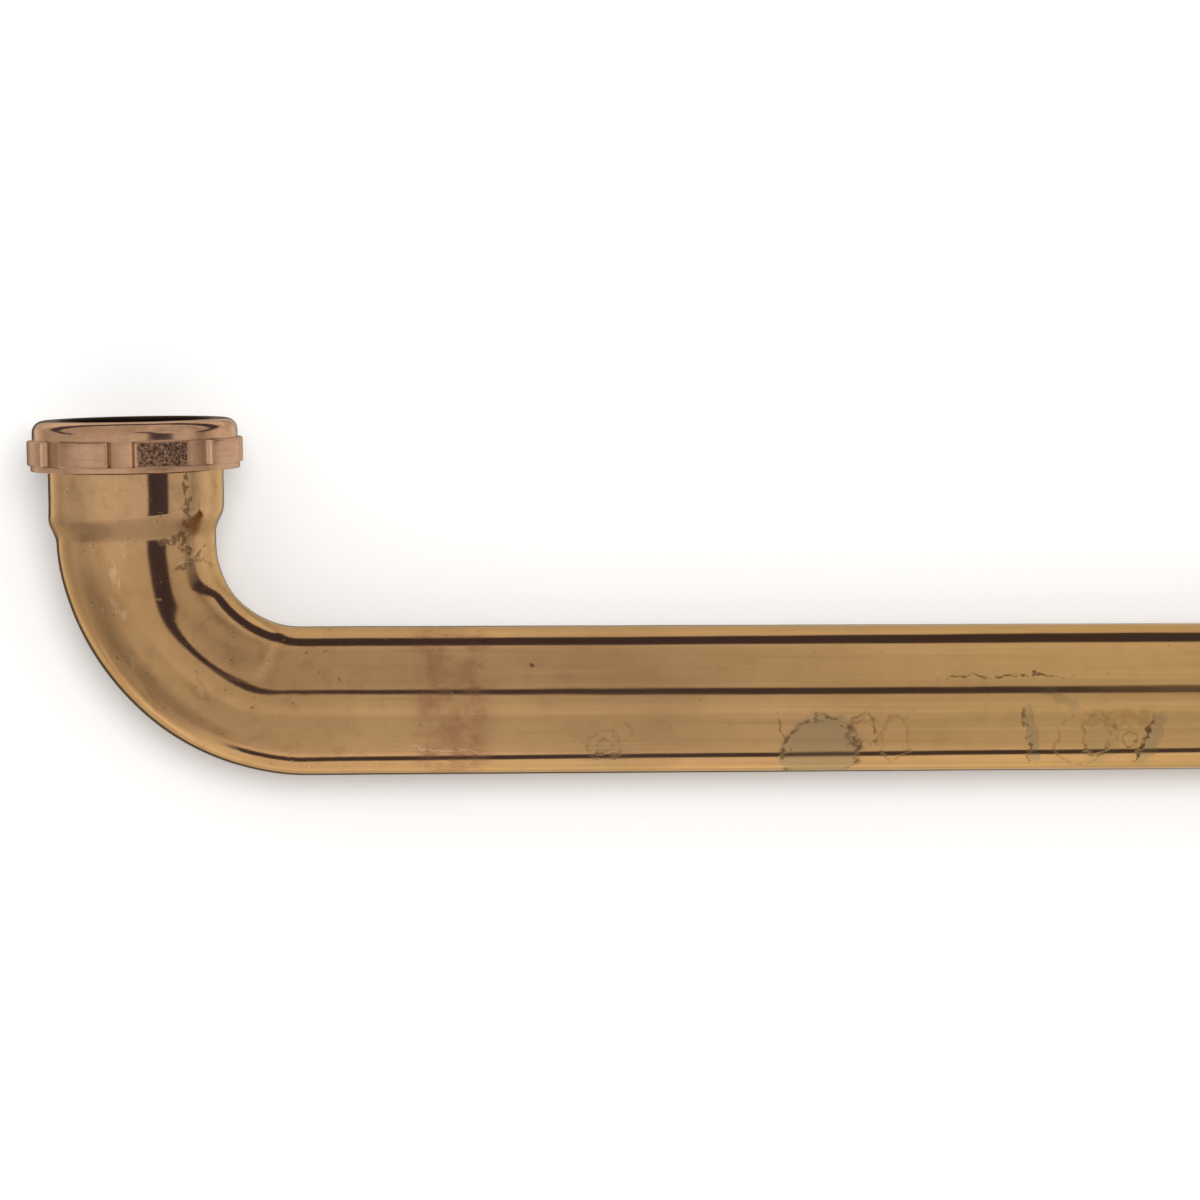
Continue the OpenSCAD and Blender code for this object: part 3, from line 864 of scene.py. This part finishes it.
def tube_marks(along):
    in_bend = ease((along - RUN_LENGTH) / 12) * ease((LEG_START - along) / 12)
    at_neck = ease((along - LEG_START + 22) / 22) * ease((SOCKET_START + 4 - along) / 8)
    return {
        "dent": ease(along / DENT_FREE_END) * ease((TUBE_END - 10 - along) / 4),
        "thread": ease((along - THREAD_START) / 1.8) * ease((TUBE_END - 0.3 - along) / 0.9),
        "squeeze": -0.012 * in_bend,
        "shift": -0.25 * at_neck,
        "lean": LEAN * ease((along - RUN_LENGTH - 2) / 14) * ease((LEG_START - 8 - along) / 16),
        "slant": 1.1 * ease((along - LEG_START + 10) / 10) * ease((SOCKET_START + 8 - along) / 8),
    }


def spaced(start, end, step):
    count = max(1, round((end - start) / step))
    return [start + (end - start) * i / count for i in range(count)]


def tube_rows():
    edge = 0.3
    outer = (spaced(edge, RUN_LENGTH, 2.6) + spaced(RUN_LENGTH, LEG_START - 2, 1.4)
             + spaced(LEG_START - 2, SOCKET_START + 2, 0.45) + spaced(SOCKET_START + 2, THREAD_START, 1.2)
             + spaced(THREAD_START, TUBE_END - 0.35, 0.22))
    inner = (spaced(1.0, RUN_LENGTH, 8.0) + spaced(RUN_LENGTH, LEG_START - 2, 3.0)
             + spaced(LEG_START - 2, SOCKET_START + 2, 0.8) + spaced(SOCKET_START + 2, THREAD_START, 2.0)
             + spaced(THREAD_START, TUBE_END - 0.35, 0.3))
    rows = [(0.0, TUBE_R - WALL + 0.25, {}), (0.0, TUBE_R - 0.32, {}), (0.04, TUBE_R - 0.26, {}),
            (edge - 0.06, TUBE_R - 0.03, {})]
    rows += [(s, tube_radius(s), tube_marks(s)) for s in outer]
    top = tube_radius(TUBE_END)
    rows += [(TUBE_END - 0.3, top - 0.02, {}), (TUBE_END - 0.08, top - 0.12, {}), (TUBE_END, top - 0.3, {}),
             (TUBE_END, top - WALL + 0.25, {}), (TUBE_END - 0.25, top - WALL, {})]
    rows += [(s, tube_radius(s) - WALL, tube_marks(s)) for s in reversed(inner)]
    rows += [(0.2, TUBE_R - WALL, {})]
    return rows


TUBE_SIDES = 192
tube = strung("brass_tube", tube_rows(), [(-180 + 360 * i / TUBE_SIDES, 0.0) for i in range(TUBE_SIDES + 1)],
              drawn_brass(), **{"Dent depth": 0.00012, "Dent size": 0.022, "Dent seed": 3.0})
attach(tube, "tube")
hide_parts("waste_tube")

# %% [markdown]
# ## The slip nut
#
# Eight lugs stand on a ring with a plain lip below and a rounded dome above.
# The casting has soft edges, so each lug's side is listed in small steps, and
# those steps are repeated round the ring.

# %% Nut outline and mesh
LUG_STAND = LUG_R - RECESS_R
LUG_SIDE = [(0.0, 1.0), (2.3, 1.0), (4.6, 1.0), (6.9, 1.0), (9.2, 1.0), (11.4, 1.0), (13.1, 1.0), (13.7, 0.99),
            (14.2, 0.965), (14.6, 0.92), (14.95, 0.84), (15.25, 0.72), (15.6, 0.50), (15.95, 0.28), (16.3, 0.11),
            (16.7, 0.03), (17.2, 0.0), (18.2, 0.0), (19.5, 0.0), (21.0, 0.0)]
FLANGE_ROUND = 0.4


def nut_columns():
    half = [(angle, share * LUG_STAND) for angle, share in LUG_SIDE]
    sector = [(-angle, lug) for angle, lug in reversed(half[1:])] + half
    pitch_angle = 360 / LUG_COUNT
    columns = []
    for i in range(LUG_COUNT):
        middle = LUG_PHASE - 180 + i * pitch_angle
        columns += [(middle - pitch_angle / 2, 0.0)] + [(middle + angle, lug) for angle, lug in sector]
    return columns + [(columns[0][0] + 360, columns[0][1])]


def nut_rows():
    leg = LEG_START - TANGENT
    low, band_low, band_top, top = (leg + a for a in (NUT_LOW, BAND_LOW, BAND_TOP, NUT_TOP))
    flange_low, bore_low = leg + FLANGE_LOW, low + 0.8
    rows = [(low, NUT_BORE_R + 0.9, {}), (low, LIP_R - 0.35, {})]
    rows += corner((low + 0.3, LIP_R - 0.3), 0.3, 170, 90, 4, dent=1.0)
    rows += [(band_low - 0.15, LIP_R, {"dent": 1.0})]
    edge = 0.55
    for t in (0.0, 0.5, 1.0):
        base = LIP_R + (RECESS_R - LIP_R) * t
        lug = LIP_R + (LUG_R - edge - LIP_R) * t
        rows.append((band_low + 0.02 * t, base, {"lug": (lug - base) / LUG_STAND, "dent": 1.0}))
    for a in (30, 60, 90):
        lug = LUG_R - edge + edge * math.sin(math.radians(a))
        rows.append((band_low + edge * (1 - math.cos(math.radians(a))), RECESS_R,
                     {"lug": (lug - RECESS_R) / LUG_STAND, "dent": 1.0}))
    rows += [(s, RECESS_R, {"lug": 1.0, "dent": 1.0}) for s in spaced(band_low + 1.1, band_top - 1.0, 0.7)]
    for a in (0, 30, 60, 90):
        lug = LUG_R - edge + edge * math.cos(math.radians(a))
        rows.append((band_top - edge + edge * math.sin(math.radians(a)), RECESS_R,
                     {"lug": (lug - RECESS_R) / LUG_STAND, "dent": 1.0}))
    for t in (0.5, 1.0):
        base = RECESS_R + (NUT_R - RECESS_R) * t
        lug = LUG_R - edge + (NUT_R - LUG_R + edge) * t
        rows.append((band_top + 0.02, base, {"lug": (lug - base) / LUG_STAND, "dent": 1.0}))
    rows += [(band_top + 0.35, NUT_R, {"dent": 1.0}), (band_top + 1.0, NUT_R, {"dent": 1.0})]
    rows += corner((top - DOME_ROUND, NUT_R - DOME_ROUND), DOME_ROUND, 90, 0, 12, dent=0.6)
    rows += [(top, OPENING_R + 1.6, {}), (top, OPENING_R + 0.8, {})]
    rows += corner((top - FLANGE_ROUND, OPENING_R + FLANGE_ROUND), FLANGE_ROUND, 0, -90, 5)
    rows += [(flange_low + 0.2, OPENING_R, {}), (flange_low, OPENING_R + 0.2, {}), (flange_low, NUT_BORE_R, {})]
    bore = NUT_BORE_R + THREAD_GAP
    rows += [(flange_low - 0.2, bore + 0.4, {}), (flange_low - 0.8, bore + 0.5, {})]
    steps = spaced(bore_low + 0.2, flange_low - 1.0, 0.24)
    for s in reversed(steps):
        rows.append((s, bore, {"thread": ease((flange_low - 0.9 - s) / 0.8) * ease((s - bore_low) / 0.6)}))
    rows += [(bore_low, bore + 0.1, {}), (low + 0.1, NUT_BORE_R + 0.8, {})]
    return rows


nut = strung("cast_nut", nut_rows(), nut_columns(), cast_brass(),
             **{"Dent depth": 0.00012, "Dent size": 0.006, "Dent seed": 7.0})
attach(nut, "nut")
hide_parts("slip_nut")

# %% [markdown]
# ## The washer
#
# A moulded ring with rounded edges. It can only be seen through the nut's
# opening, as a dark ring round the bore.

# %% Washer
WASHER_ROUND = 0.4


def washer_rows():
    leg = LEG_START - TANGENT
    low, high, r = leg + WASHER_LOW, leg + WASHER_LOW + WASHER_T, WASHER_ROUND
    rows = corner((low + r, WASHER_R - r), r, 180, 90)
    rows += corner((high - r, WASHER_R - r), r, 90, 0)
    rows += corner((high - r, WASHER_HOLE_R + r), r, 0, -90)
    rows += corner((low + r, WASHER_HOLE_R + r), r, -90, -180)
    return rows


washer = strung("rubber_washer", washer_rows(), [(-180 + 360 * i / 144, 0.0) for i in range(145)], moulded_rubber())
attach(washer, "washer")
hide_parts("slip_washer")

# %% [markdown]
# ## A last update
#
# The scene is brought up to date once more.

# %% Bring the scene up to date
bpy.context.view_layer.update()
